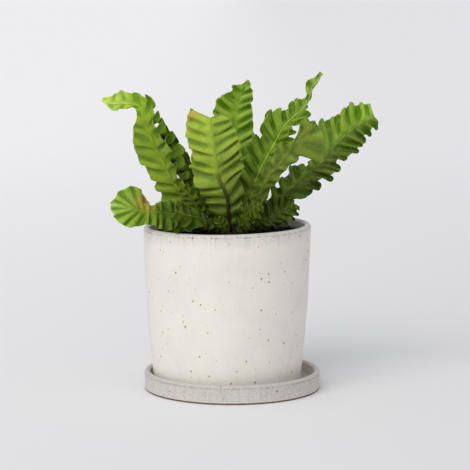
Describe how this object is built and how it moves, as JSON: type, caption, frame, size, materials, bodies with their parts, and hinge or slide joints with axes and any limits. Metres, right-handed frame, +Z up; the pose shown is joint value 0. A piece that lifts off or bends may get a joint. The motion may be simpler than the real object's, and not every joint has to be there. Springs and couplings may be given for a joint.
{
  "type": "potted crisped bird's-nest fern",
  "caption": "Crisped bird's-nest fern with pleated, ruffled strap fronds in a speckled stoneware pot that stands in its saucer.",
  "frame": {"origin": "centre of the saucer's flat base, on the surface it stands on", "axes": "+Z up, along the whole plant's height; -Y is the front that the picture shows; +X to its right"},
  "size_m": [0.2302, 0.1554, 0.2648],
  "materials": {
    "stoneware": "satin speckled glaze",
    "potting_soil": "damp crumb",
    "rhizome": "dry brown scales",
    "frond": "glossy, pleated",
    "young_frond": "satin, pleated"
  },
  "bodies": {
    "root": {"saucer": "stoneware", "pot": "stoneware", "soil": "potting_soil", "crown": "rhizome", "frond_front_broad": "young_frond", "frond_left_tall": "frond", "frond_left_low": "frond", "frond_back_tall": "frond", "frond_right_glossy": "frond", "frond_far_right": "frond", "frond_right_pale": "young_frond", "frond_low_right": "frond", "frond_front_low": "frond", "frond_front_young": "young_frond", "frond_front_left": "frond", "frond_front_left_low": "frond", "frond_back_middle": "frond", "frond_back_upright": "frond", "frond_back_right": "frond", "frond_back_left": "frond", "frond_back_low": "frond", "frond_inner_left": "frond"}
  },
  "joints": []
}
